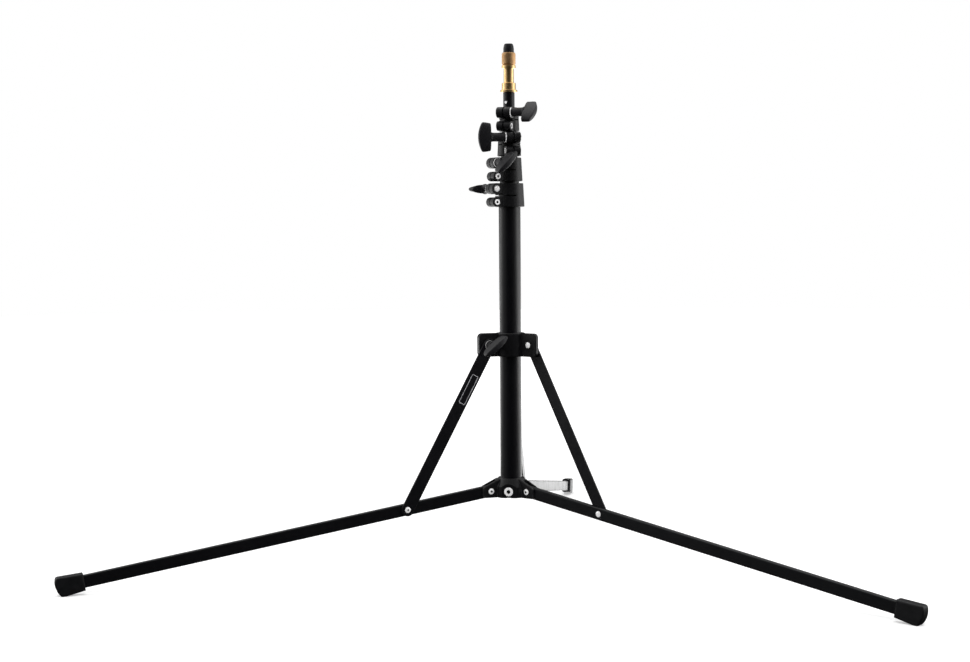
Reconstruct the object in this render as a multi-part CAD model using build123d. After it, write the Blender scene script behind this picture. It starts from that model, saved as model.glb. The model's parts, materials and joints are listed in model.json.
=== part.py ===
"""Compact five-section light stand with reverse-folding legs.

Frame: +Z is up, the origin is on the floor under the column axis, and the rear leg points along +Y.
Every sub-part is built in a local frame whose +X points radially outward, then turned to its azimuth.
"""
import math
import os

from build123d import *

os.makedirs("parts", exist_ok=True)

# ---------------------------------------------------------------- driving dimensions, mm and degrees
RUN_FIT = 0.06            # radial clearance of a pin or tube that turns or slides
SNUG = 0.05               # radial gap between pieces that stay together

# legs, struts and their four-bar linkage
LEG_AZIMUTHS = {"rear": 90, "left": 210, "right": 330}
LEG_LENGTH = 495.3        # hub pivot to the end of the rubber foot
LEG_SLOPE = 8.62          # downward slope of an open leg
LEG_END_HEIGHT = 9.4      # height of the leg axis at the end of the foot
LEG_TALL = 13.7
LEG_WIDE = 6.0
LEG_WALL = 1.2
HUB_PIVOT_R = 26.5
SLIDER_PIVOT_R = 27.1
SLIDER_PIVOT_Z = 252.3
JOINT_ALONG_LEG = 101.7   # hub pivot to strut joint
STRUT_WIDE = 14.6
STRUT_THICK = 2.0
STRUT_GAP = 0.35          # between the strut and the side of the leg
PIVOT_PIN_R = 2.0

# feet
FOOT_LONG = 30.0
FOOT_WIDE = 12.0
FOOT_MOUTH_HALF = 9.2

# hub
HUB_BELOW = 7.5           # hub bottom below the leg pivots
HUB_FLOOR = 3.5
HUB_NECK_TOP = 14.5       # neck top above the leg pivots
HUB_BODY_R = 20.0
HUB_FLAT_R = 18.0
HUB_NECK_R = 15.2
HUB_ARM_R = 36.5
HUB_ARM_HALF = 5.4
CHEEK_SLOT_HALF = 3.35
HUB_SLOT_FROM = 19.0
HUB_SCREW_HEAD_R = 5.1
RIVET_HEAD_R = 3.4

# telescopic column: outer radii from the base tube up to the top riser
TUBE_R = (12.5, 11.0, 9.5, 8.0, 6.5)
TUBE_WALL = 1.2
CLAMP_TALL = 27.0
CLAMP_1_BOTTOM = 410.2
CLAMP_GAPS = (2.2, 1.7, 1.2)      # between neighbouring clamps with the column lowered
CLAMP_SEAT = 13.0                 # height inside a clamp where the tube below ends
GUIDE_FLANGE = 5.0
GUIDE_PLUG = 8.0
RISER_FOOT_STEP = 17.0            # each riser ends this much above the one around it
RISER_1_FOOT = 83.5
TOP_RISER_EXTRA = 16.0            # further drop that the top riser can make
SPIGOT_FLANGE_Z = 540.7

# clamps, from the lowest up: collar radii, screw radius, lug azimuth, knob side, knob turn and stem
CLAMPS = (
    {"bottom_r": 17.2, "top_r": 15.8, "screw_r": 20.9, "azimuth": 219.3, "knob": -1, "turn": 0, "head": 1,
     "stem": 10.5},
    {"bottom_r": 15.1, "top_r": 13.7, "screw_r": 19.8, "azimuth": 219.3, "knob": 1, "turn": 135, "head": 1,
     "stem": 13.0},
    {"bottom_r": 13.6, "top_r": 12.3, "screw_r": 17.4, "azimuth": 293.3, "knob": -1, "turn": 90, "head": -1,
     "stem": 16.5},
    {"bottom_r": 11.8, "top_r": 10.7, "screw_r": 15.4, "azimuth": 259.3, "knob": 1, "turn": 137, "head": 1,
     "stem": 14.6},
)
LUG_HALF = 8.4
UPPER_LUG_R = 6.25
LOWER_LUG_R = 5.5
SLIT = 1.6
SLOT_TALL = 1.2
SLOT_HALF_ANGLE = 85
BOLT_R = 2.5
BOLT_HEAD_R = 3.5
SCREW_R = 2.0
SCREW_HEAD_R = 3.2
WASHER_R = 5.6
WASHER_THICK = 1.0

# wing knob
STEM_R = 5.2
WING_LONG = 33.6
WING_DEEP = 14.2
WING_INNER_THICK = 10.6
WING_OUTER_THICK = 6.4
WING_END_THICK = 5.0
WING_BULGE = 4.3
BOLT_IN_KNOB = 10.0       # how far a bolt goes into its knob

# slider
SLIDER_TALL = 27.0
SLIDER_RING_R = 17.0
SLIDER_LUG_R = 39.2
SLIDER_LUG_BACK = 1.8     # from the radial plane to the free side of a plain lug
SLIDER_CLAMP_BACK = 5.0   # the same for the split lug with the knob
SLIDER_KNOB_TURN = 140
SLIDER_STEM = 13.0

# spigot
SPIGOT_R = 7.94           # 5/8 inch
THREAD_R = 4.76           # 3/8 inch
SMALL_THREAD_R = 3.175    # 1/4 inch
WAIST_R = 5.8
FLANGE_R = 9.6
NUT_R = 7.9
CAP_R = 6.2
CAP_TIP_R = 4.6
FLANGE_TOP = 2.6          # heights above the bottom of the flange
LAND_TOP = 10.6
WAIST_TOP = 27.1
RING_TOP = 30.6
NUT_FROM = 31.0
NUT_TO = 45.0
CAP_FROM = 45.2
CAP_TO = 55.2

# ---------------------------------------------------------------- derived dimensions
SLOPE = math.radians(LEG_SLOPE)
HUB_PIVOT_Z = LEG_LENGTH * math.sin(SLOPE) + LEG_END_HEIGHT
JOINT_R = HUB_PIVOT_R + JOINT_ALONG_LEG * math.cos(SLOPE)
JOINT_Z = HUB_PIVOT_Z - JOINT_ALONG_LEG * math.sin(SLOPE)
STRUT_LONG = math.hypot(JOINT_R - SLIDER_PIVOT_R, SLIDER_PIVOT_Z - JOINT_Z)
STRUT_LEAN = math.degrees(math.atan2(JOINT_R - SLIDER_PIVOT_R, SLIDER_PIVOT_Z - JOINT_Z))
STRUT_INNER = LEG_WIDE / 2 + STRUT_GAP
STRUT_OUTER = STRUT_INNER + STRUT_THICK
SLIDER_LUG_FRONT = LEG_WIDE / 2
SLIDER_KNOB_FACE = STRUT_OUTER + 0.3 + WASHER_THICK     # the washer clears the turning strut
CLAMP_Z = [CLAMP_1_BOTTOM + sum(CLAMP_GAPS[:i]) + i * CLAMP_TALL for i in range(4)]
TUBE_TOPS = [z + CLAMP_SEAT for z in CLAMP_Z] + [SPIGOT_FLANGE_Z]
HUB_BOTTOM = HUB_PIVOT_Z - HUB_BELOW
SOCKET_Z = HUB_BOTTOM + HUB_FLOOR
TUBE_FEET = [SOCKET_Z] + [RISER_1_FOOT + GUIDE_FLANGE + i * RISER_FOOT_STEP for i in range(4)]
TUBE_FEET[4] += TOP_RISER_EXTRA


# ---------------------------------------------------------------- helpers
def save(name, *shapes):
    """Write one sub-part; several shapes become a group of separate solids."""
    solids = [solid for shape in shapes for solid in shape.solids()]
    export_step(solids[0] if len(solids) == 1 else Compound(children=solids), f"parts/{name}.step")


def rod(radius, start, end, x=0.0, z=0.0):
    """A round bar along local Y from start to end."""
    middle = Pos(x, (start + end) / 2, z)
    return middle * Rot(90, 0, 0) * Cylinder(radius, abs(end - start))


def drum(radius, bottom, top, x=0.0, y=0.0):
    """A round bar along Z from bottom to top."""
    return Pos(x, y, (bottom + top) / 2) * Cylinder(radius, top - bottom)


def block(x0, x1, y0, y1, z0, z1):
    return Pos((x0 + x1) / 2, (y0 + y1) / 2, (z0 + z1) / 2) * Box(x1 - x0, y1 - y0, z1 - z0)


def plate(points, half, radius=0.0):
    """An outline of (x, z) points, its corners rounded by radius, extruded to both sides of y = 0."""
    outline = Polygon(*points, align=None)
    if radius:
        outline = fillet(outline.vertices(), radius)
    return extrude(Plane.XZ * outline, half, both=True)


def dome(radius, height):
    """A spherical cap on z = 0."""
    sphere_r = (radius**2 + height**2) / (2 * height)
    ball = Pos(0, 0, height - sphere_r) * Sphere(sphere_r)
    return ball & Pos(0, 0, height / 2) * Box(4 * radius, 4 * radius, height)


def dome_at(radius, height, side, offset, x=0.0, z=0.0):
    """A domed head on the plane y = side * offset, bulging outward."""
    return Pos(x, side * offset, z) * Rot(-90 * side, 0, 0) * dome(radius, height)


def hex_socket(size, depth):
    """The cutter of a hexagon socket, going down from z = 0."""
    return extrude(RegularPolygon(size, 6), -depth)


def socket_at(size, depth, side, face, x=0.0, z=0.0):
    return Pos(x, side * face, z) * Rot(-90 * side, 0, 0) * hex_socket(size, depth)


# ---------------------------------------------------------------- hub
def hub_arm():
    """One clevis arm, before its slot is cut."""
    z = HUB_PIVOT_Z
    sketch = [
        (8, z - HUB_BELOW),
        (HUB_ARM_R - 2, z - HUB_BELOW),
        (HUB_ARM_R, z - HUB_BELOW + 2.5),
        (HUB_ARM_R, z + 3.5),
        (HUB_ARM_R - 2.5, z + 5.8),
        (HUB_NECK_R + 1.5, z + HUB_NECK_TOP - 0.5),
        (8, z + HUB_NECK_TOP - 0.5),
    ]
    arm = plate(sketch, HUB_ARM_HALF, 1.2)
    rim = [e for face in arm.faces().filter_by(Axis.Y) for e in face.edges() if e.center().X > 14]
    return chamfer(rim, 0.7)


def hub_body():
    z = HUB_PIVOT_Z
    body = drum(HUB_BODY_R, HUB_BOTTOM, z + 5.0)
    cone_tall = HUB_NECK_TOP - 5.0
    body += Pos(0, 0, z + 5.0 + cone_tall / 2) * Cone(HUB_BODY_R, HUB_NECK_R, cone_tall)
    body = chamfer(body.edges().sort_by(Axis.Z)[0], 0.8)
    for azimuth in LEG_AZIMUTHS.values():
        flat = block(HUB_FLAT_R, 30, -20, 20, HUB_BOTTOM - 1, z + 30)
        body -= Rot(0, 0, azimuth + 180) * flat
    for azimuth in LEG_AZIMUTHS.values():
        body += Rot(0, 0, azimuth) * hub_arm()
    for azimuth in LEG_AZIMUTHS.values():
        slot = block(HUB_SLOT_FROM, 50, -CHEEK_SLOT_HALF, CHEEK_SLOT_HALF, HUB_BOTTOM - 1, z + 30)
        pin_hole = rod(PIVOT_PIN_R + SNUG, -12, 12, HUB_PIVOT_R, z)
        body -= Rot(0, 0, azimuth) * (slot + pin_hole)
    body -= drum(TUBE_R[0] + SNUG, SOCKET_Z, z + 30)
    screw_hole = Rot(0, 0, -90) * (Pos(15, 0, z) * Rot(0, 90, 0) * Cylinder(2.5 + SNUG, 20))
    notch = block(-2.4, 2.4, -HUB_FLAT_R - 1, -HUB_FLAT_R + 2.5, HUB_BOTTOM - 1, HUB_BOTTOM + 1.3)
    return body - screw_hole - notch


def hub_tube_screw():
    """Cheese-head screw that holds the base tube in the hub, with a deep hexagon socket."""
    head = Pos(0, 0, 0.9) * Cylinder(HUB_SCREW_HEAD_R, 1.8)
    head = fillet(head.edges().sort_by(Axis.Z)[-1], 0.7)
    reach = HUB_FLAT_R - TUBE_R[0] + TUBE_WALL - 0.2
    shank = Pos(0, 0, -reach / 2) * Cylinder(2.5, reach)
    screw = head + shank - Pos(0, 0, 1.8) * hex_socket(2.4, 3.2)
    return Rot(0, 0, -90) * Pos(HUB_FLAT_R, 0, HUB_PIVOT_Z) * Rot(0, 90, 0) * screw


def hub_pivot_screw(azimuth):
    """Shoulder screw of one leg pivot: a domed head with a socket, a plain domed end."""
    x, z, face = HUB_PIVOT_R, HUB_PIVOT_Z, HUB_ARM_HALF
    screw = rod(PIVOT_PIN_R, -face, face, x, z)
    for side in (-1, 1):
        screw += dome_at(RIVET_HEAD_R, 1.2, side, face, x, z)
    side = -1 if azimuth == LEG_AZIMUTHS["right"] else 1
    screw -= socket_at(1.45, 1.5, side, face + 1.2, x, z)
    return Rot(0, 0, azimuth) * screw


# ---------------------------------------------------------------- column
def tube(index):
    outer = TUBE_R[index]
    bottom, top = TUBE_FEET[index], TUBE_TOPS[index]
    body = drum(outer, bottom, top) - drum(outer - TUBE_WALL, bottom - 1, top + 1)
    if index == 0:
        hole = Pos(0, -outer, HUB_PIVOT_Z) * Rot(90, 0, 0) * Cylinder(2.5 + SNUG, 6)
        body -= hole
    if index == 4:
        body -= spigot_pin(0.02, 8)
    return body


def guide(index):
    """Plastic foot of a riser: a flange that runs in the tube around it, and a plug inside the riser."""
    run_r = TUBE_R[index - 1] - TUBE_WALL - RUN_FIT
    bottom = TUBE_FEET[index] - GUIDE_FLANGE
    flange = drum(run_r, bottom, TUBE_FEET[index])
    flange = chamfer(flange.edges().sort_by(Axis.Z)[0], 0.8)
    plug = drum(TUBE_R[index] - TUBE_WALL - SNUG, TUBE_FEET[index], TUBE_FEET[index] + GUIDE_PLUG)
    return flange + plug - drum(2.5, bottom - 1, TUBE_FEET[index] + GUIDE_PLUG + 1)


# ---------------------------------------------------------------- clamps
def clamp_collar(index):
    """Split collar, lug pair along local +X; the upper half grips the riser, the lower half the tube."""
    spec, outer = CLAMPS[index], TUBE_R[index]
    screw_r, tall = spec["screw_r"], CLAMP_TALL
    upper_z, lower_z = tall - UPPER_LUG_R, LOWER_LUG_R
    collar = Pos(0, 0, tall / 2) * Cone(spec["bottom_r"], spec["top_r"], tall)
    collar = fillet(collar.edges().filter_by(GeomType.CIRCLE), 0.7)
    for radius, z in ((UPPER_LUG_R, upper_z), (LOWER_LUG_R, lower_z)):
        lug = rod(radius, -LUG_HALF, LUG_HALF, screw_r, z)
        lug += block(2, screw_r, -LUG_HALF, LUG_HALF, z - radius, z + radius)
        lug = fillet(lug.edges().filter_by(GeomType.CIRCLE), 0.8)
        collar += lug
    collar -= drum(outer + SNUG, -1, tall - 1.2)
    collar -= drum(TUBE_R[index + 1] + 0.4, -1, tall + 1)
    collar -= block(0, 40, -SLIT / 2, SLIT / 2, -1, tall + 1)
    collar -= side_slot(spec["bottom_r"] + 1)
    collar -= rod(BOLT_R + SNUG, -12, 12, screw_r, upper_z)
    collar -= rod(SCREW_R + SNUG, -12, 12, screw_r, lower_z)
    head = spec["head"]
    collar -= rod(SCREW_HEAD_R + SNUG, head * (LUG_HALF - 2.0), head * 12, screw_r, lower_z)
    return collar


def side_slot(radius):
    """The cutter of the level slot that frees the gripping half, open to both sides of the slit."""
    z = CLAMP_SEAT - SLOT_TALL / 2
    ring = drum(radius, z, z + SLOT_TALL) - block(-2 * radius, 0, -radius, radius, z - 1, z + 3)
    return ring


def clamp_bush(index):
    """Split plastic bush on which the riser slides and which the clamp squeezes."""
    outer, inner = TUBE_R[index], TUBE_R[index + 1] + RUN_FIT
    bottom, top = CLAMP_SEAT, CLAMP_TALL - 1.2
    bush = drum(outer, bottom, top) - drum(inner, bottom - 1, top + 1)
    return bush - block(0, 40, -SLIT / 2, SLIT / 2, bottom - 1, top + 1)


def clamp_bolt(index):
    """Carriage bolt and the bright washer under the wing knob."""
    spec = CLAMPS[index]
    x, z, side = spec["screw_r"], CLAMP_TALL - UPPER_LUG_R, spec["knob"]
    end = side * (LUG_HALF + WASHER_THICK + BOLT_IN_KNOB)
    bolt = rod(BOLT_R, -side * LUG_HALF, end, x, z) + dome_at(BOLT_HEAD_R, 1.9, -side, LUG_HALF, x, z)
    return bolt, washer(side, LUG_HALF, x, z)


def washer(side, face, x, z):
    ring = rod(WASHER_R, side * face, side * (face + WASHER_THICK), x, z)
    return ring - rod(BOLT_R + SNUG, side * (face - 1), side * (face + 3), x, z)


def clamp_screw(index):
    """Socket screw that fixes the collar to the tube below it."""
    spec = CLAMPS[index]
    x, z, side = spec["screw_r"], LOWER_LUG_R, spec["head"]
    seat = LUG_HALF - 2.0
    head = rod(SCREW_HEAD_R, side * seat, side * (seat + 2.6), x, z)
    shank = rod(SCREW_R, -side * (LUG_HALF - 0.6), side * seat, x, z)
    return head + shank - socket_at(1.6, 2.0, side, seat + 2.6, x, z)


# ---------------------------------------------------------------- wing knob
def wing_outline(low):
    """Half-moon wing in the local XZ plane: a straight inner edge at low, a bulged outer edge."""
    half, shoulder = WING_LONG / 2, low + WING_DEEP - WING_BULGE
    outline = make_face([
        Line((-half + 1.2, low), (half - 1.2, low)),
        Line((half - 1.2, low), (half, shoulder)),
        ThreePointArc((half, shoulder), (0, low + WING_DEEP), (-half, shoulder)),
        Line((-half, shoulder), (-half + 1.2, low)),
    ])
    return Plane.XZ * fillet(outline.vertices(), 1.6)


def wing_plan(height, thick):
    """Leaf-shaped section of the wing, square to the knob axis: full in the middle, thin at the ends."""
    half, mid, end = WING_LONG / 2 + 1, thick / 2, min(WING_END_THICK, 0.7 * thick) / 2
    return Pos(0, 0, height) * make_face([
        ThreePointArc((-half, end), (0, mid), (half, end)),
        Line((half, end), (half, -end)),
        ThreePointArc((half, -end), (0, -mid), (-half, -end)),
        Line((-half, -end), (-half, end)),
    ])


def wing_knob(stem_long):
    """Wing knob on local +Z, its base on z = 0, its wing along local X and thinner toward the outside."""
    low, high = stem_long - 0.5, stem_long + WING_DEEP + 0.5
    wedge = loft([wing_plan(low, WING_INNER_THICK), wing_plan(high, WING_OUTER_THICK)])
    wing = extrude(wing_outline(stem_long), WING_INNER_THICK, both=True) & wedge
    wing = fillet(wing.edges(), 1.0)
    stem = Pos(0, 0, (stem_long + 3) / 2) * Cone(STEM_R - 0.1, STEM_R + 0.15, stem_long + 3)
    bore = Pos(0, 0, (BOLT_IN_KNOB + 1) / 2) * Cylinder(BOLT_R + RUN_FIT, BOLT_IN_KNOB + 1)
    return wing + stem - bore


def place_knob(x, z, side, face, turn):
    """Seat of a wing knob on the plane y = side * face, its wing turned up from local +X."""
    angle = math.radians(turn)
    frame = Plane(
        origin=(x, side * face, z),
        x_dir=(math.cos(angle), 0, math.sin(angle)),
        z_dir=(0, side, 0),
    )
    return frame.location


# ---------------------------------------------------------------- slider
def slider_collar():
    half = SLIDER_TALL / 2
    low, high = SLIDER_PIVOT_Z - half, SLIDER_PIVOT_Z + half
    body = drum(SLIDER_RING_R, low, high)
    body = fillet(body.edges().filter_by(GeomType.CIRCLE), 1.2)
    for name, azimuth in LEG_AZIMUTHS.items():
        back = SLIDER_CLAMP_BACK if name == "left" else SLIDER_LUG_BACK
        body += Rot(0, 0, azimuth) * slider_lug(low, high, back)
    body -= drum(TUBE_R[0] + 1.3, low - 1, high + 1)
    for name, azimuth in LEG_AZIMUTHS.items():
        hole_r = (BOLT_R if name == "left" else PIVOT_PIN_R) + SNUG
        body -= Rot(0, 0, azimuth) * rod(hole_r, -12, 12, SLIDER_PIVOT_R, SLIDER_PIVOT_Z)
    return body - slider_slit(low, high)


def slider_lug(low, high, back):
    """One lug with rounded outer corners; its flat +Y side carries the strut."""
    outline = Polygon((8, low), (SLIDER_LUG_R, low), (SLIDER_LUG_R, high), (8, high), align=None)
    outer = outline.vertices().sort_by(Axis.X)[-2:]
    face = Plane.XZ * fillet(outer, 5.0)
    lug = Pos(0, SLIDER_LUG_FRONT, 0) * extrude(face, SLIDER_LUG_FRONT + back)
    rim = [e for side in lug.faces().filter_by(Axis.Y) for e in side.edges() if e.center().X > 18]
    return chamfer(rim, 0.6)


def slider_slit(low, high):
    """The cutter that splits the left lug and the ring beside it."""
    middle = (SLIDER_LUG_FRONT - SLIDER_CLAMP_BACK) / 2
    slit = block(0, 50, middle - SLIT / 2, middle + SLIT / 2, low - 1, high + 1)
    return Rot(0, 0, LEG_AZIMUTHS["left"]) * slit


def slider_bush():
    """Thin plastic liner between the slider and the base tube."""
    half = SLIDER_TALL / 2
    low, high = SLIDER_PIVOT_Z - half + 0.6, SLIDER_PIVOT_Z + half - 0.6
    bush = drum(TUBE_R[0] + 1.25, low, high) - drum(TUBE_R[0] + RUN_FIT, low - 1, high + 1)
    return bush - slider_slit(low, high)


def slider_bolt():
    """Carriage bolt through the left lug and strut, with the washer under the knob."""
    x, z = SLIDER_PIVOT_R, SLIDER_PIVOT_Z
    bolt = rod(BOLT_R, -SLIDER_CLAMP_BACK, SLIDER_KNOB_FACE + BOLT_IN_KNOB, x, z)
    bolt += dome_at(BOLT_HEAD_R, 1.9, -1, SLIDER_CLAMP_BACK, x, z)
    turn = Rot(0, 0, LEG_AZIMUTHS["left"])
    return turn * bolt, turn * washer(1, SLIDER_KNOB_FACE - WASHER_THICK, x, z)


def slider_rivet(azimuth):
    """Rivet of a plain strut pivot, with a low dome at each end."""
    x, z = SLIDER_PIVOT_R, SLIDER_PIVOT_Z
    end = STRUT_OUTER + 0.3
    rivet = rod(PIVOT_PIN_R, -SLIDER_LUG_BACK, end, x, z)
    rivet += dome_at(RIVET_HEAD_R, 1.2, -1, SLIDER_LUG_BACK, x, z) + dome_at(RIVET_HEAD_R, 1.2, 1, end, x, z)
    return Rot(0, 0, azimuth) * rivet


# ---------------------------------------------------------------- legs and struts
def leg_place(azimuth):
    return Rot(0, 0, azimuth) * Pos(HUB_PIVOT_R, 0, HUB_PIVOT_Z) * Rot(0, LEG_SLOPE, 0)


def leg_blank():
    """Solid outer form of a leg: rounded corners along its length, a round end about the pivot."""
    end = LEG_LENGTH - 2.6
    bar = block(-LEG_TALL / 2, end, -LEG_WIDE / 2, LEG_WIDE / 2, -LEG_TALL / 2, LEG_TALL / 2)
    bar = fillet(bar.edges().filter_by(Axis.X), 1.4)
    keep = block(0, end + 1, -LEG_WIDE, LEG_WIDE, -LEG_TALL, LEG_TALL)
    return bar & (keep + rod(LEG_TALL / 2, -LEG_WIDE, LEG_WIDE))


def leg_tube():
    end = LEG_LENGTH - 2.6
    wide, tall = LEG_WIDE / 2 - LEG_WALL, LEG_TALL / 2 - LEG_WALL
    bore = block(-LEG_TALL, end + 1, -wide, wide, -tall, tall)
    leg = leg_blank() - bore
    leg -= rod(PIVOT_PIN_R + RUN_FIT, -LEG_WIDE, LEG_WIDE)
    return leg - rod(PIVOT_PIN_R + SNUG, -LEG_WIDE, LEG_WIDE, JOINT_ALONG_LEG)


def foot_blank():
    """Rubber boot: it flares toward a bulged end, more below the leg than above it."""
    end, mouth = LEG_LENGTH, LEG_LENGTH - FOOT_LONG
    top, low = (end - 1.8, 10.6), (end - 5.2, -11.4)
    outline = make_face([
        Line((mouth, FOOT_MOUTH_HALF), top),
        ThreePointArc(top, (end, -0.5), low),
        Line(low, (mouth, -FOOT_MOUTH_HALF)),
        Line((mouth, -FOOT_MOUTH_HALF), (mouth, FOOT_MOUTH_HALF)),
    ])
    outline = fillet(outline.vertices().sort_by(Axis.Y)[-1], 3.2)
    outline = fillet(outline.vertices().sort_by(Axis.Y)[0], 2.2)
    boot = extrude(Plane.XZ * outline, FOOT_WIDE / 2, both=True)
    return fillet(boot.faces().filter_by(Axis.Y).edges(), 1.8)


def foot(azimuth):
    """The boot on its leg, worn flat where it stands on the floor."""
    boot = leg_place(azimuth) * (foot_blank() - leg_blank())
    return boot - block(-700, 700, -700, 700, -20, 0)


def leg_rivet():
    """Shank and far head of the strut joint, flush with the side of the leg that faces the strut."""
    half = LEG_WIDE / 2
    shank = rod(PIVOT_PIN_R, -half, half, JOINT_ALONG_LEG)
    return shank + dome_at(RIVET_HEAD_R, 1.2, -1, half, JOINT_ALONG_LEG)


def strut_place(azimuth):
    return Rot(0, 0, azimuth) * Pos(SLIDER_PIVOT_R, 0, SLIDER_PIVOT_Z) * Rot(0, 90 - STRUT_LEAN, 0)


def strut(name):
    """Flat bar with round ends, on the left-hand side of its leg."""
    half = STRUT_WIDE / 2
    middle = (STRUT_INNER + STRUT_OUTER) / 2
    bar = block(0, STRUT_LONG, STRUT_INNER, STRUT_OUTER, -half, half)
    bar += rod(half, STRUT_INNER, STRUT_OUTER) + rod(half, STRUT_INNER, STRUT_OUTER, STRUT_LONG)
    bar = fillet(bar.faces().filter_by(Axis.Y).edges(), 0.5)
    pin_r = BOLT_R if name == "left" else PIVOT_PIN_R
    bar -= rod(pin_r + RUN_FIT, middle - 4, middle + 4)
    return bar - rod(PIVOT_PIN_R + SNUG, middle - 4, middle + 4, STRUT_LONG)


def strut_rivet():
    """Head and stub of the strut joint, flush with the side of the strut that faces the leg."""
    stub = rod(PIVOT_PIN_R, STRUT_INNER, STRUT_OUTER, STRUT_LONG)
    head = dome_at(RIVET_HEAD_R, 1.4, 1, STRUT_OUTER, STRUT_LONG)
    return stub + head - socket_at(1.3, 1.0, 1, STRUT_OUTER + 1.4, STRUT_LONG)


# ---------------------------------------------------------------- spigot
def revolved(points):
    """A turned piece from (radius, z) points, closed along the axis."""
    return revolve(Plane.XZ * Polygon(*points, align=None), Axis.Z)


def spigot():
    """Brass stud: flange, 5/8 inch land, waist, ring, then the two threads."""
    z = SPIGOT_FLANGE_Z
    core = TUBE_R[4] - TUBE_WALL - SNUG
    body = revolved([
        (0, z - 22), (core - 0.6, z - 22), (core, z - 21.4), (core, z),
        (FLANGE_R - 0.5, z), (FLANGE_R, z + 0.5), (FLANGE_R, z + FLANGE_TOP - 0.5),
        (FLANGE_R - 0.5, z + FLANGE_TOP), (SPIGOT_R, z + FLANGE_TOP),
        (SPIGOT_R, z + LAND_TOP - 0.6), (SPIGOT_R - 0.6, z + LAND_TOP), (WAIST_R, z + LAND_TOP),
        (WAIST_R, z + WAIST_TOP), (SPIGOT_R - 0.5, z + WAIST_TOP), (SPIGOT_R, z + WAIST_TOP + 0.5),
        (SPIGOT_R, z + RING_TOP - 0.5), (SPIGOT_R - 0.5, z + RING_TOP), (THREAD_R, z + RING_TOP),
        (THREAD_R, z + 44.2), (SMALL_THREAD_R, z + 44.8), (SMALL_THREAD_R, z + 52.4),
        (2.6, z + 53.0), (0, z + 53.0),
    ])
    return body - spigot_pin(0.02, 8)


def spigot_pin(extra=0.0, reach=6.35):
    """Cross pin that holds the stud in the top riser; its ends stay just inside the tube."""
    pin = rod(1.6 + extra, -reach, reach)
    return Pos(0, 0, SPIGOT_FLANGE_Z - 11.5) * Rot(0, 0, 244 + 90) * pin


def knurled_nut():
    """Lock nut with a diamond-knurled grip between two plain chamfered ends."""
    low, high = SPIGOT_FLANGE_Z + NUT_FROM, SPIGOT_FLANGE_Z + NUT_TO
    nut = revolved([
        (0, low), (NUT_R - 0.8, low), (NUT_R, low + 0.8), (NUT_R, high - 0.8),
        (NUT_R - 0.8, high), (0, high),
    ])
    groove = Pos(NUT_R + 0.15, 0, (low + high) / 2) * Rot(0, 0, 45) * Box(0.7, 0.7, high - low - 2.4)
    for step in range(36):
        nut -= Rot(0, 0, 10 * step) * groove
    return nut - drum(THREAD_R + RUN_FIT, low - 1, high + 1)


def thread_cap():
    """Tapered rubber cap over the small thread."""
    low, high = SPIGOT_FLANGE_Z + CAP_FROM, SPIGOT_FLANGE_Z + CAP_TO
    cap = revolved([
        (0, low), (CAP_R, low), (CAP_R, low + 3.4), (CAP_R - 0.5, low + 6.6),
        (CAP_TIP_R + 0.4, high - 0.8), (CAP_TIP_R - 0.2, high), (0, high),
    ])
    return cap - drum(SMALL_THREAD_R + RUN_FIT, low - 1, high - 1.6)


# ---------------------------------------------------------------- write the sub-parts
def write_base():
    save("hub", hub_body())
    save("hub_tube_screw", hub_tube_screw())
    save("hub_pivot_screws", *[hub_pivot_screw(azimuth) for azimuth in LEG_AZIMUTHS.values()])


def write_column():
    names = ["base_tube", "riser_tube_1", "riser_tube_2", "riser_tube_3", "riser_tube_4"]
    for index, name in enumerate(names):
        save(name, tube(index))
        if index:
            save(f"riser_guide_{index}", guide(index))


def write_clamps():
    knob_face = LUG_HALF + WASHER_THICK
    for index, spec in enumerate(CLAMPS):
        place = Pos(0, 0, CLAMP_Z[index]) * Rot(0, 0, spec["azimuth"])
        number = index + 1
        save(f"clamp_collar_{number}", place * clamp_collar(index))
        save(f"clamp_bush_{number}", place * clamp_bush(index))
        save(f"clamp_bolt_{number}", *[place * piece for piece in clamp_bolt(index)])
        save(f"clamp_screw_{number}", place * clamp_screw(index))
        seat = place_knob(spec["screw_r"], CLAMP_TALL - UPPER_LUG_R, spec["knob"], knob_face, spec["turn"])
        save(f"wing_knob_{number}", place * seat * wing_knob(spec["stem"]))


def write_slider():
    save("slider_collar", slider_collar())
    save("slider_bush", slider_bush())
    save("slider_bolt", *slider_bolt())
    save("slider_rivets", *[slider_rivet(LEG_AZIMUTHS[name]) for name in ("rear", "right")])
    seat = place_knob(SLIDER_PIVOT_R, SLIDER_PIVOT_Z, 1, SLIDER_KNOB_FACE, SLIDER_KNOB_TURN)
    save("slider_knob", Rot(0, 0, LEG_AZIMUTHS["left"]) * seat * wing_knob(SLIDER_STEM))


def write_legs():
    for name, azimuth in LEG_AZIMUTHS.items():
        save(f"{name}_leg", leg_place(azimuth) * leg_tube())
        save(f"{name}_foot", foot(azimuth))
        save(f"{name}_leg_rivet", leg_place(azimuth) * leg_rivet())
        save(f"{name}_strut", strut_place(azimuth) * strut(name))
        save(f"{name}_strut_rivet", strut_place(azimuth) * strut_rivet())


def write_top():
    save("spigot", spigot())
    save("spigot_pin", spigot_pin())
    save("knurled_nut", knurled_nut())
    save("thread_cap", thread_cap())


write_base()
write_column()
write_clamps()
write_slider()
write_legs()
write_top()
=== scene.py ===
"""Looks of the compact five-section light stand, in metres, in the stand's own frame.

+Z is up, the column stands on the origin, and the rear leg points along +Y.
"""
import json
import math

import bmesh
import bpy
from mathutils import Matrix, Vector


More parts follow.
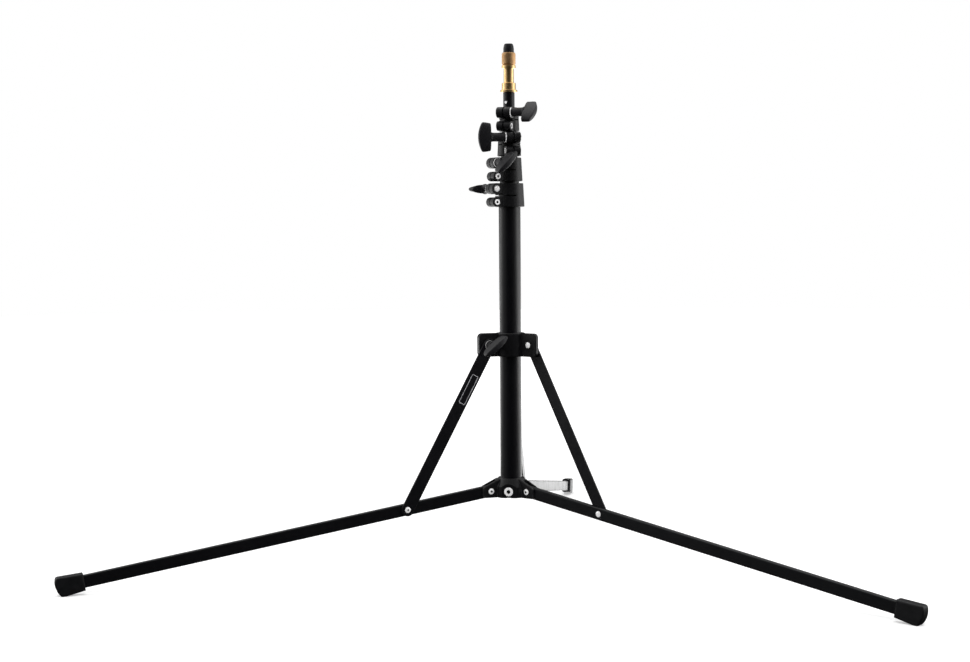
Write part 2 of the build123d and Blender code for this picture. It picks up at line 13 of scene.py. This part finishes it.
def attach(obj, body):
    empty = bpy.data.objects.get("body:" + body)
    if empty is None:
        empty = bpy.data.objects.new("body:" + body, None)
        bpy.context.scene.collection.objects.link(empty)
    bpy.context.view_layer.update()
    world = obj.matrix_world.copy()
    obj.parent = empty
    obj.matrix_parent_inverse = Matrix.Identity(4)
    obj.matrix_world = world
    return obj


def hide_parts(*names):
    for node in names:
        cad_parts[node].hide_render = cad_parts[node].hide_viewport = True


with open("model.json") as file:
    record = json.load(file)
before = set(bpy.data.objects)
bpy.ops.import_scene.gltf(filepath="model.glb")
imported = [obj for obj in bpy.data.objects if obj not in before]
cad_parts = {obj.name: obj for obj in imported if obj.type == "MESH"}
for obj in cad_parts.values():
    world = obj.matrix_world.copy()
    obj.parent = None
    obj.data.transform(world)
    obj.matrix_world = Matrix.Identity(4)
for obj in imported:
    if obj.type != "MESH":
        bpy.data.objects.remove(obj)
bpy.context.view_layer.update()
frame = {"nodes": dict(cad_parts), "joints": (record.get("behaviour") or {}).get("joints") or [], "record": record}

MM = 0.001
JOINTS = {joint["name"]: joint for joint in frame["joints"]}
UP = Vector((0, 0, 1))

# ---------------------------------------------------------------- camera, floor and light
CAMERA_ROUND = 9.40       # degrees that the camera stands round from the -Y side
CAMERA_BACK = 1.9428
CAMERA_HEIGHT = 0.3873
CAMERA_YAW = -0.86
CAMERA_PITCH = 3.52
CAMERA_ROLL = -0.40
CAMERA_LENS = 62.67
AIM = Vector((0, 0, 0.3))
# Each of the next four goes from its third number to its fourth as the factor goes from first to second.
ROOM_SHADE = (0.35, 0.88, 0.8, 0.008)     # room light, dimmed in the direction of the camera
BACK_SHADE = (-0.98, -0.55, 0.12, 1.0)    # a second factor on it, dimmed straight behind the stand
FLOOR_GLOW = (0.5, 2.0, 0.35, 1.0)        # the floor's own light, by the distance from the column
FLOOR_GLINT = (0.3, 0.55, 0.02, 3.2)      # the floor as glossy surfaces see it, by the distance behind
FLOOR_R = 6.0
FLOOR_DROP = 0.0002       # below the feet, so that the two faces don't coincide
GLINT_TOWARDS = 81        # degrees: the direction in which the floor behind the stand is measured
SOFTBOXES = (             # name, degrees round, distance, height, width, length, watts, seen in gloss
    ("left_softbox", 175, 1.6, 0.8, 0.9, 1.8, 7, True),
    ("right_softbox", 10, 1.6, 0.8, 0.9, 1.8, 6, True),
    ("top_softbox", 100, 0.5, 2.2, 1.8, 1.2, 12, True),
    ("front_softbox", 279, 1.5, 1.6, 1.2, 0.8, 22, False),
)
RANGE_SOCKETS = ("From Min", "From Max", "To Min", "To Max")


def make_camera():
    yaw, pitch, roll = (math.radians(a) for a in (CAMERA_YAW, CAMERA_PITCH, CAMERA_ROLL))
    around = Matrix.Rotation(math.radians(CAMERA_ROUND), 3, "Z")
    forward = Vector((math.sin(yaw) * math.cos(pitch), math.cos(yaw) * math.cos(pitch), -math.sin(pitch)))
    forward = around @ forward
    level = around @ Vector((math.cos(yaw), -math.sin(yaw), 0))
    upward = level.cross(forward)
    right = level * math.cos(roll) + upward * math.sin(roll)
    place = around @ Vector((0, -CAMERA_BACK, CAMERA_HEIGHT))
    data = bpy.data.cameras.new("camera")
    data.lens = CAMERA_LENS
    data.clip_end = 50
    camera = bpy.data.objects.new("camera", data)
    bpy.context.scene.collection.objects.link(camera)
    axes = Matrix((right, right.cross(forward), -forward)).transposed()
    camera.matrix_world = Matrix.Translation(place) @ axes.to_4x4()
    bpy.context.scene.camera = camera


def make_world():
    """White for the camera; for the object a bright room that is dark around the camera's side."""
    world = bpy.data.worlds.new("studio")
    bpy.context.scene.world = world
    world.use_nodes = True
    nodes, links = world.node_tree.nodes, world.node_tree.links
    nodes.clear()
    front = math.radians(CAMERA_ROUND - 90)
    facing = nodes.new("ShaderNodeVectorMath")
    facing.operation = "DOT_PRODUCT"
    facing.inputs[1].default_value = (math.cos(front), math.sin(front), 0)
    links.new(nodes.new("ShaderNodeTexCoord").outputs["Generated"], facing.inputs[0])
    both = nodes.new("ShaderNodeMath")
    both.operation = "MULTIPLY"
    for socket, shading in zip(both.inputs, (ROOM_SHADE, BACK_SHADE)):
        shade = nodes.new("ShaderNodeMapRange")
        shade.interpolation_type = "SMOOTHSTEP"
        for name, value in zip(RANGE_SOCKETS, shading):
            shade.inputs[name].default_value = value
        links.new(facing.outputs["Value"], shade.inputs["Value"])
        links.new(shade.outputs["Result"], socket)
    lit, seen = nodes.new("ShaderNodeBackground"), nodes.new("ShaderNodeBackground")
    links.new(both.outputs["Value"], lit.inputs["Strength"])
    seen.inputs["Color"].default_value = (1, 1, 1, 1)
    mix = nodes.new("ShaderNodeMixShader")
    links.new(nodes.new("ShaderNodeLightPath").outputs["Is Camera Ray"], mix.inputs["Fac"])
    links.new(lit.outputs["Background"], mix.inputs[1])
    links.new(seen.outputs["Background"], mix.inputs[2])
    links.new(mix.outputs["Shader"], nodes.new("ShaderNodeOutputWorld").inputs["Surface"])


def make_softbox(name, azimuth, distance, height, width, length, power, glossy):
    """A rectangular soft light that stands at an azimuth and faces the column."""
    data = bpy.data.lights.new(name, "AREA")
    data.shape = "RECTANGLE"
    data.size, data.size_y = width, length
    data.energy = power
    light = bpy.data.objects.new(name, data)
    bpy.context.scene.collection.objects.link(light)
    angle = math.radians(azimuth)
    light.location = Vector((distance * math.cos(angle), distance * math.sin(angle), height))
    light.rotation_mode = "QUATERNION"
    light.rotation_quaternion = (AIM - light.location).to_track_quat("-Z", "Y")
    light.visible_glossy = glossy


def make_floor():
    """A pale floor that glows more the further it is, until it meets the white background."""
    made = bmesh.new()
    bmesh.ops.create_circle(made, cap_ends=True, segments=96, radius=FLOOR_R)
    mesh = bpy.data.meshes.new("floor")
    made.to_mesh(mesh)
    made.free()
    floor = bpy.data.objects.new("floor", mesh)
    bpy.context.scene.collection.objects.link(floor)
    floor.location.z = -FLOOR_DROP
    tree = Tree("pale_floor")
    away = tree.nodes.new("ShaderNodeVectorMath")
    away.operation = "LENGTH"
    tree.links.new(tree.place, away.inputs[0])
    tree.set(Base_Color=(0.85, 0.85, 0.85, 1), Roughness=0.8, Specular_IOR_Level=0.0)
    tree.set(Emission_Color=(1, 1, 1, 1))
    glow = tree.between(away.outputs["Value"], *FLOOR_GLOW)
    seen = tree.nodes.new("ShaderNodeLightPath").outputs["Is Camera Ray"]
    tree.links.new(tree.add(glow, seen, "MULTIPLY"), tree.shader.inputs["Emission Strength"])
    behind = tree.nodes.new("ShaderNodeVectorMath")
    behind.operation = "DOT_PRODUCT"
    towards = math.radians(GLINT_TOWARDS)
    behind.inputs[1].default_value = (math.cos(towards), math.sin(towards), 0)
    tree.links.new(tree.place, behind.inputs[0])
    glint = tree.nodes.new("ShaderNodeEmission")
    tree.links.new(tree.between(behind.outputs["Value"], *FLOOR_GLINT), glint.inputs["Strength"])
    choice = tree.nodes.new("ShaderNodeMixShader")
    tree.links.new(tree.nodes.new("ShaderNodeLightPath").outputs["Is Glossy Ray"], choice.inputs["Fac"])
    tree.links.new(tree.shader.outputs["BSDF"], choice.inputs[1])
    tree.links.new(glint.outputs["Emission"], choice.inputs[2])
    tree.links.new(choice.outputs["Shader"], tree.nodes["Material Output"].inputs["Surface"])
    mesh.materials.append(tree.material)


# ---------------------------------------------------------------- material helpers
class Tree:
    """A node material under construction: its tree, its shader and the place its textures share."""

    def __init__(self, name):
        self.material = bpy.data.materials.new(name)
        self.material.use_nodes = True
        self.nodes = self.material.node_tree.nodes
        self.links = self.material.node_tree.links
        self.shader = self.nodes["Principled BSDF"]
        self.place = self.nodes.new("ShaderNodeTexCoord").outputs["Object"]

    def set(self, **values):
        """Sets the shader's sockets that have one value all over; underscores stand for spaces."""
        for name, value in values.items():
            self.shader.inputs[name.replace("_", " ")].default_value = value

    def noise(self, size, detail=3.0, stretch=(1, 1, 1)):
        """Noise whose grains are about size metres across, longer along a stretched axis."""
        mapping = self.nodes.new("ShaderNodeMapping")
        mapping.inputs["Scale"].default_value = [1 / s for s in stretch]
        texture = self.nodes.new("ShaderNodeTexNoise")
        texture.inputs["Scale"].default_value = 1 / size
        texture.inputs["Detail"].default_value = detail
        self.links.new(self.place, mapping.inputs["Vector"])
        self.links.new(mapping.outputs["Vector"], texture.inputs["Vector"])
        return texture.outputs["Fac"]

    def ramp(self, factor, low, high, colour_low, colour_high):
        """A colour that goes from one to the other as factor goes from low to high."""
        ramp = self.nodes.new("ShaderNodeValToRGB")
        ramp.color_ramp.elements[0].position = low
        ramp.color_ramp.elements[1].position = high
        ramp.color_ramp.elements[0].color = (*colour_low, 1)
        ramp.color_ramp.elements[1].color = (*colour_high, 1)
        self.links.new(factor, ramp.inputs["Fac"])
        return ramp.outputs["Color"]

    def between(self, factor, low, high, to_low, to_high):
        """A number that goes from to_low to to_high as factor goes from low to high."""
        span = self.nodes.new("ShaderNodeMapRange")
        for name, value in zip(RANGE_SOCKETS, (low, high, to_low, to_high)):
            span.inputs[name].default_value = value
        self.links.new(factor, span.inputs["Value"])
        return span.outputs["Result"]

    def mix(self, factor, first, second):
        """Two colours mixed; each is a socket or a tuple."""
        mix = self.nodes.new("ShaderNodeMix")
        mix.data_type = "RGBA"
        self.links.new(factor, mix.inputs["Factor"])
        for socket, value in ((mix.inputs[6], first), (mix.inputs[7], second)):
            if isinstance(value, tuple):
                socket.default_value = (*value, 1)
            else:
                self.links.new(value, socket)
        return mix.outputs[2]

    def add(self, first, second, operation="ADD"):
        maths = self.nodes.new("ShaderNodeMath")
        maths.operation = operation
        for socket, value in zip(maths.inputs, (first, second)):
            if isinstance(value, (int, float)):
                socket.default_value = value
            else:
                self.links.new(value, socket)
        return maths.outputs[0]

    def rub_and_highlight_edges(self, radius, spread=0.35):
        """0 on a flat, up to 1 on an edge that hands and cases rub, broken up by noise; the materials also use it
        to paint a pale edge highlight.
        """
        bevel = self.nodes.new("ShaderNodeBevel")
        bevel.inputs["Radius"].default_value = radius
        bevel.samples = 4
        geometry = self.nodes.new("ShaderNodeNewGeometry")
        dot = self.nodes.new("ShaderNodeVectorMath")
        dot.operation = "DOT_PRODUCT"
        self.links.new(bevel.outputs["Normal"], dot.inputs[0])
        self.links.new(geometry.outputs["Normal"], dot.inputs[1])
        edge = self.between(dot.outputs["Value"], 0.995, 0.80, 0.0, 1.0)
        patches = self.between(self.noise(0.006, 4), 0.5 - spread / 2, 0.5 + spread / 2, 0.0, 1.0)
        return self.add(edge, patches, "MULTIPLY")

    def bump(self, height, strength, distance):
        bump = self.nodes.new("ShaderNodeBump")
        bump.inputs["Strength"].default_value = strength
        bump.inputs["Distance"].default_value = distance
        self.links.new(height, bump.inputs["Height"])
        self.links.new(bump.outputs["Normal"], self.shader.inputs["Normal"])

    def colour(self, socket):
        self.links.new(socket, self.shader.inputs["Base Color"])

    def roughness(self, socket):
        self.links.new(socket, self.shader.inputs["Roughness"])


# ---------------------------------------------------------------- materials
def black_anodised(name, tint, gloss):
    """Satin black aluminium: drawn lines along the part, faint cloudiness, pale edges that are partly rub wear and
    partly a painted edge highlight.
    """
    tree = Tree(name)
    lines = tree.noise(0.00035, 2, stretch=(1, 1, 60))
    clouds = tree.noise(0.03, 3)
    base = tree.ramp(clouds, 0.3, 0.7, [0.85 * c for c in tint], [1.15 * c for c in tint])
    # Pale edges: partly rub wear, partly a painted edge highlight.
    rub_and_highlight = tree.rub_and_highlight_edges(0.0006)
    tree.colour(tree.mix(rub_and_highlight, base, (0.10, 0.10, 0.105)))
    streaky = tree.between(lines, 0.3, 0.7, gloss - 0.05, gloss + 0.06)
    smudges = tree.between(tree.noise(0.018, 5), 0.45, 0.75, 0.0, 0.07)
    tree.roughness(tree.add(streaky, smudges))
    tree.set(Specular_IOR_Level=0.5)
    tree.bump(lines, 0.06, 0.00004)
    return tree.material


def powder_coat(name):
    """Black powder coat on a casting: fine orange peel and a few pale corners, partly rub wear and partly a
    painted edge highlight.
    """
    tree = Tree(name)
    peel = tree.noise(0.0007, 2)
    base = tree.ramp(tree.noise(0.01, 4), 0.3, 0.7, (0.0022, 0.0022, 0.0028), (0.0042, 0.0042, 0.0052))
    # Pale edges and corners: partly rub wear, partly a painted edge highlight.
    tree.colour(tree.mix(tree.rub_and_highlight_edges(0.0007), base, (0.12, 0.12, 0.12)))
    tree.roughness(tree.between(peel, 0.3, 0.7, 0.36, 0.5))
    tree.set(Specular_IOR_Level=0.45)
    tree.bump(peel, 0.25, 0.00008)
    return tree.material


def moulded_plastic(name, dark, light, rough, grain=0.0004):
    """Glass-filled nylon: spark-eroded grain, faint flow marks, edges polished by use, whose paler colour is
    partly wear and partly a painted edge highlight.
    """
    tree = Tree(name)
    fine = tree.noise(grain, 3)
    flow = tree.noise(0.008, 3, stretch=(1, 1, 2.5))
    base = tree.ramp(flow, 0.3, 0.7, dark, light)
    # Paler, smoother edges: partly wear, and the paler colour is partly a painted edge highlight.
    rub_and_highlight = tree.rub_and_highlight_edges(0.0008)
    tree.colour(tree.mix(rub_and_highlight, base, tuple(1.8 * c for c in light)))
    grained = tree.between(fine, 0.3, 0.7, rough - 0.06, rough + 0.06)
    tree.roughness(tree.add(grained, tree.between(rub_and_highlight, 0, 1, 0.0, -0.12)))
    tree.set(Specular_IOR_Level=0.45)
    tree.bump(fine, 0.3, 0.00006)
    return tree.material


def rubber(name, dark, light, rough):
    """Moulded rubber: dusty bloom in patches over a fine matt grain."""
    tree = Tree(name)
    fine = tree.noise(0.0005, 4)
    bloom = tree.noise(0.006, 5)
    tree.colour(tree.ramp(bloom, 0.4, 0.75, dark, light))
    tree.roughness(tree.between(fine, 0.3, 0.7, rough - 0.07, rough + 0.08))
    tree.set(Specular_IOR_Level=0.4)
    tree.bump(fine, 0.35, 0.00008)
    return tree.material


def bright_plate(name):
    """Bright zinc plate: fine haze, faint yellow-blue passivation, and painted shade down in the sockets and other
    recesses.
    """
    tree = Tree(name)
    haze = tree.noise(0.0006, 3)
    plate = tree.ramp(tree.noise(0.003, 2), 0.35, 0.65, (0.92, 0.92, 0.94), (0.98, 0.97, 0.95))
    # Painted shade: ambient occlusion mixes the plate to near black down in sockets and other recesses, where
    # shade falls.
    hollow_shade = tree.nodes.new("ShaderNodeAmbientOcclusion")
    hollow_shade.inputs["Distance"].default_value = 0.004
    hollow_shade.samples = 8
    out_of_painted_shade = tree.between(hollow_shade.outputs["AO"], 0.45, 0.8, 0.0, 1.0)
    # Near black where the mask finds a hollow: this is painted shade.
    tree.colour(tree.mix(out_of_painted_shade, (0.02, 0.02, 0.022), plate))
    tree.roughness(tree.between(haze, 0.3, 0.7, 0.28, 0.40))
    tree.set(Metallic=0.25)
    tree.bump(haze, 0.08, 0.00003)
    return tree.material


def turned_brass(name, dark, light, rough):
    """Lathe-turned brass: rings round the axis, with slightly browner tarnish in patches."""
    tree = Tree(name)
    rings = tree.noise(0.00018, 2, stretch=(400, 400, 1))
    tarnish = tree.noise(0.004, 4)
    tree.colour(tree.ramp(tarnish, 0.35, 0.7, light, dark))
    tree.roughness(tree.between(rings, 0.3, 0.7, rough - 0.03, rough + 0.04))
    tree.set(Metallic=0.97)
    tree.bump(rings, 0.03, 0.00001)
    return tree.material


FINISHES = {              # maker, then its own values: colours from dark to light, and the roughness
    "tube_metal": (black_anodised, (0.0015, 0.0015, 0.0025), 0.36),
    "strut_metal": (black_anodised, (0.0024, 0.0022, 0.0036), 0.34),
    "cast_metal": (powder_coat,),
    "collar_plastic": (moulded_plastic, (0.0024, 0.0024, 0.0030), (0.0044, 0.0044, 0.0052), 0.44),
    "knob_plastic": (moulded_plastic, (0.0042, 0.0040, 0.0052), (0.0068, 0.0064, 0.0082), 0.50),
    "guide_plastic": (moulded_plastic, (0.008, 0.008, 0.008), (0.013, 0.013, 0.013), 0.4),
    "bright_steel": (bright_plate,),
    "foot_rubber": (rubber, (0.0028, 0.0028, 0.0036), (0.0062, 0.0062, 0.0074), 0.5),
    "cap_rubber": (rubber, (0.0034, 0.0034, 0.0048), (0.0062, 0.0062, 0.0084), 0.42),
    "polished_brass": (turned_brass, (0.93, 0.61, 0.26), (0.97, 0.68, 0.34), 0.29),
    "knurled_brass": (turned_brass, (0.54, 0.31, 0.14), (0.68, 0.43, 0.22), 0.40),
}
MATERIALS = {slot: maker(slot, *values) for slot, (maker, *values) in FINISHES.items()}
PRINT = moulded_plastic("pale_print", (0.30, 0.30, 0.32), (0.52, 0.52, 0.54), 0.5, grain=0.0002)


# ---------------------------------------------------------------- mesh helpers
def skin(made, rings):
    """Quads between neighbouring closed rings of points, given in millimetres."""
    rows = [[made.verts.new(Vector(point) * MM) for point in ring] for ring in rings]
    for low, high in zip(rows, rows[1:]):
        for i in range(len(low)):
            j = (i + 1) % len(low)
            made.faces.new((low[i], low[j], high[j], high[i]))
    return rows


def around_axis(profile, segments):
    """One ring of points for each (radius, height) of a turned profile."""
    turns = [2 * math.pi * i / segments for i in range(segments)]
    return [[(r * math.cos(a), r * math.sin(a), z) for a in turns] for r, z in profile]


def rounded(profile, radius, steps=4):
    """A turned profile with each corner replaced by a small curve."""
    points = [Vector(point) for point in profile]
    result = [points[0]]
    for before, corner, after in zip(points, points[1:], points[2:]):
        start, end = before - corner, after - corner
        near = min(radius, start.length / 2.1, end.length / 2.1)
        first, last = corner + start.normalized() * near, corner + end.normalized() * near
        for step in range(steps + 1):
            t = step / steps
            result.append((1 - t) ** 2 * first + 2 * t * (1 - t) * corner + t * t * last)
    return [tuple(point) for point in result + [points[-1]]]


def make_piece(made, name, place, body, slot, *nodes, sharp=32):
    """A finished piece from a bmesh: placed, smooth but for its sharp edges, dressed and riding."""
    bmesh.ops.remove_doubles(made, verts=made.verts, dist=1e-7)
    bmesh.ops.transform(made, matrix=place, verts=made.verts)
    bmesh.ops.recalc_face_normals(made, faces=made.faces)
    mesh = bpy.data.meshes.new(name)
    made.to_mesh(mesh)
    made.free()
    mesh.polygons.foreach_set("use_smooth", [True] * len(mesh.polygons))
    mesh.set_sharp_from_angle(angle=math.radians(sharp))
    mesh.materials.append(MATERIALS[slot])
    piece = bpy.data.objects.new(name, mesh)
    bpy.context.scene.collection.objects.link(piece)
    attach(piece, body)
    if nodes:
        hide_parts(*nodes)
    return piece


def on_axis(height):
    return Matrix.Translation((0, 0, height * MM))


# ---------------------------------------------------------------- wing knobs
KNOBS = {                 # turn of the wing in degrees, base along the axis and stem, in mm
    "wing_knob_1": (0, 9.4, 10.0),
    "wing_knob_2": (135, 9.4, 13.0),
    "wing_knob_3": (90, 9.4, 16.5),
    "wing_knob_4": (137, 9.4, 14.6),
    "slider_knob": (140, 6.65, 13.0),
}
WING_HALF = 16.8
WING_SHOULDER = 9.9
WING_BULGE = 4.2
WING_INNER = 5.3          # half thickness beside the stem
WING_OUTER = 3.2          # half thickness at the outer edge
WING_TAPER = 1.2          # by how much the foot of the wing is shorter at each end
END_POWER, SIDE_POWER = 0.9, 0.72         # 1 for both is an ellipse; smaller is squarer
WING_POINTS = 72
WING_LEVELS = (           # share of the height, inset from the side
    (0.0, 1.6), (0.006, 1.0), (0.025, 0.45), (0.06, 0.12), (0.1, 0.0), (0.35, 0.0), (0.6, 0.0),
    (0.86, 0.0), (0.92, 0.1), (0.965, 0.38), (0.99, 0.8), (1.0, 1.4),
)
STEM_PROFILE = ((0, 0.3), (3.4, 0.3), (3.4, 0.0), (5.15, 0.0), (5.15, 1.6), (4.85, 2.0), (4.95, 3.2))


def wing_ring(share, inset, low):
    """One leaf-shaped section of a wing; its height follows the bulge of the outer edge."""
    half = WING_HALF - WING_TAPER + WING_TAPER * min(share / 0.7, 1) - inset
    thick = WING_INNER + (WING_OUTER - WING_INNER) * share - inset
    ring = []
    for step in range(WING_POINTS):
        angle = 2 * math.pi * step / WING_POINTS
        along = half * math.copysign(abs(math.cos(angle)) ** END_POWER, math.cos(angle))
        across = thick * math.copysign(abs(math.sin(angle)) ** SIDE_POWER, math.sin(angle))
        reach = WING_SHOULDER + WING_BULGE * (1 - (along / WING_HALF) ** 2)
        ring.append((along, across, low + share * reach))
    return ring


def close_leaf(made, row):
    """Closes the end of a wing with strips across it."""
    count = len(row)
    for i in range(count // 2):
        corners = (row[i], row[i + 1], row[count - i - 1], row[(count - i) % count])
        made.faces.new(tuple(dict.fromkeys(corners)))


def make_knob(name, turn, base, stem):
    """A wing on a round stem, which turns about its clamp's bolt."""
    made = bmesh.new()
    rows = skin(made, [wing_ring(share, inset, stem) for share, inset in WING_LEVELS])
    close_leaf(made, rows[0])
    close_leaf(made, rows[-1])
    top = ((5.05, stem - 2.4), (5.5, stem - 0.8), (6.1, stem + 0.3), (0, stem + 0.3))
    skin(made, around_axis(rounded(STEM_PROFILE + top, 0.35), 48))
    joint = JOINTS[name + "_turn"]
    middle, outward = Vector(joint["pos_m"]), Vector(joint["axis"])
    radial = Vector((middle.x, middle.y, 0)).normalized()
    wing = radial * math.cos(math.radians(turn)) + UP * math.sin(math.radians(turn))
    axes = Matrix((wing, outward.cross(wing), outward)).transposed().to_4x4()
    place = Matrix.Translation(middle + outward * base * MM) @ axes
    make_piece(made, name + "_grip", place, name, "knob_plastic", name, sharp=28)


# ---------------------------------------------------------------- printed outline on the left strut
STRUT_LEAN = 28.52
STRUT_FACE = 5.35         # outer side of a strut, from the radial plane of its leg
OUTLINE_LONG, OUTLINE_WIDE, OUTLINE_LINE = 36.0, 7.9, 0.5
OUTLINE_DOWN = 56.4       # from the slider pivot to the middle of the outline
OUTLINE_IN = 0.8


def frame_ring(inset, height):
    """A rounded rectangle, inset from the outline's outer edge, at a height above the strut."""
    long, wide = OUTLINE_LONG / 2 - inset, OUTLINE_WIDE / 2 - inset
    radius = 1.4 - inset
    ring = []
    for corner, (sx, sy) in enumerate(((1, 1), (-1, 1), (-1, -1), (1, -1))):
        for step in range(7):
            angle = math.radians(90 * corner + 15 * step)
            x = sx * (long - radius) + radius * math.cos(angle)
            ring.append((x, sy * (wide - radius) + radius * math.sin(angle), height))
    return ring


def make_outline():
    """A plain printed box without lettering, a few hundredths of a millimetre thick."""
    made = bmesh.new()
    line = OUTLINE_LINE
    rings = [frame_ring(0, 0.01), frame_ring(0, 0.05), frame_ring(line, 0.05), frame_ring(line, 0.01)]
    skin(made, rings + [rings[0]])
    joint = JOINTS["left_strut_swing"]
    middle, outward = Vector(joint["pos_m"]), Vector(joint["axis"]).normalized()
    radial = Vector((middle.x, middle.y, 0)).normalized()
    lean = math.radians(STRUT_LEAN)
    down = radial * math.sin(lean) - UP * math.cos(lean)
    side = outward.cross(down)
    inward = side if side.dot(radial) < 0 else -side
    centre = middle + (down * OUTLINE_DOWN + inward * OUTLINE_IN + outward * STRUT_FACE) * MM
    place = Matrix.Translation(centre) @ Matrix((down, side, outward)).transposed().to_4x4()
    make_piece(made, "strut_outline", place, "left_strut", "strut_metal").data.materials[0] = PRINT


# ---------------------------------------------------------------- top: stud, nut and cap
FLANGE_Z = 540.7
STUD = (
    (0, -22.0), (4.7, -22.0), (5.25, -21.4), (5.25, 0.0), (9.6, 0.0), (9.6, 2.6), (7.94, 2.7),
    (7.94, 10.4), (5.8, 10.9), (5.8, 27.1), (7.94, 27.1), (7.94, 30.6), (4.7, 30.6), (4.7, 44.2),
    (3.17, 44.5), (3.17, 44.8),
)
THREAD_R, THREAD_DEEP, THREAD_PITCH = 3.17, 0.6, 1.27
THREAD_FROM, THREAD_LONG = 44.8, 7.6
THREAD_ROWS, THREAD_POINTS = 60, 48
NUT_R = 7.9
NUT_FROM, NUT_TO = 31.0, 45.0
NUT_RIM = ((4.85, 0.0), (6.9, 0.0), (7.45, 0.5), (7.45, 1.2))     # radius, depth from either end
KNURL_FROM = 1.3          # depth from either end at which the knurl starts
KNURL_ROWS = 56
KNURL_TEETH = 34
KNURL_DEEP = 0.26
CAP = (
    (0, 53.4), (3.25, 53.4), (3.25, 45.2), (6.2, 45.2), (6.2, 46.3), (6.0, 46.6), (6.1, 48.9),
    (5.7, 51.8), (5.0, 54.3), (4.3, 55.2), (0, 55.2),
)


def wave(number):
    """0 at whole numbers, 1 half-way between them, straight in between."""
    return 1 - abs(2 * (number % 1) - 1)


def make_stud():
    """The brass stud, with a real screw thread under the cap."""
    made = bmesh.new()
    skin(made, around_axis(rounded(STUD, 0.35), 96))
    thread = []
    for row in range(THREAD_ROWS + 1):
        height = THREAD_FROM + THREAD_LONG * row / THREAD_ROWS
        ring = []
        for i in range(THREAD_POINTS):
            crest = wave(height / THREAD_PITCH - i / THREAD_POINTS)
            r = THREAD_R - THREAD_DEEP * (1 - crest) * min(1, row / 3)
            angle = 2 * math.pi * i / THREAD_POINTS
            ring.append((r * math.cos(angle), r * math.sin(angle), height))
        thread.append(ring)
    thread += around_axis(((2.3, 53.0), (0, 53.0)), THREAD_POINTS)
    skin(made, thread)
    make_piece(made, "stud", on_axis(FLANGE_Z), "riser_4", "polished_brass", "spigot", sharp=24)


def make_nut():
    """The lock nut: a diamond-knurled grip between two plain, slightly smaller ends."""
    made = bmesh.new()
    count = KNURL_TEETH * 8
    turns = [2 * math.pi * i / count for i in range(count)]
    rings = around_axis([(r, NUT_FROM + deep) for r, deep in NUT_RIM], count)
    low, high = NUT_FROM + KNURL_FROM, NUT_TO - KNURL_FROM
    for row in range(KNURL_ROWS + 1):
        height = low + (high - low) * row / KNURL_ROWS
        rise = (height - low) * KNURL_TEETH / (2 * math.pi * NUT_R)
        ring = []
        for i, angle in enumerate(turns):
            tooth = i / 8
            bite = min(wave(tooth + rise), wave(tooth - rise))
            r = NUT_R - KNURL_DEEP + KNURL_DEEP * min(1.0, 1.35 * bite)
            ring.append((r * math.cos(angle), r * math.sin(angle), height))
        rings.append(ring)
    rings += around_axis([(r, NUT_TO - deep) for r, deep in reversed(NUT_RIM)], count)
    skin(made, rings + [rings[0]])
    make_piece(made, "lock_nut", on_axis(FLANGE_Z), "knurled_nut", "knurled_brass", "knurled_nut", sharp=60)


def make_cap():
    """The soft cap that covers the small thread."""
    made = bmesh.new()
    skin(made, around_axis(rounded(CAP, 0.6), 72))
    make_piece(made, "soft_cap", on_axis(FLANGE_Z), "thread_cap", "cap_rubber", "thread_cap", sharp=50)


def dress_cad_nodes():
    """Every CAD node gets the material of its slot."""
    for part in frame["record"]["subparts"]:
        node = frame["nodes"][part["node"]]
        for slot in node.material_slots:
            slot.material = MATERIALS[part["material_slot"]]


# ---------------------------------------------------------------- scene
bpy.context.scene.view_settings.view_transform = "Standard"
make_camera()
make_world()
for softbox in SOFTBOXES:
    make_softbox(*softbox)
make_floor()
dress_cad_nodes()
for knob_name, (knob_turn, knob_base, knob_stem) in KNOBS.items():
    make_knob(knob_name, knob_turn, knob_base, knob_stem)
make_outline()
make_stud()
make_nut()
make_cap()
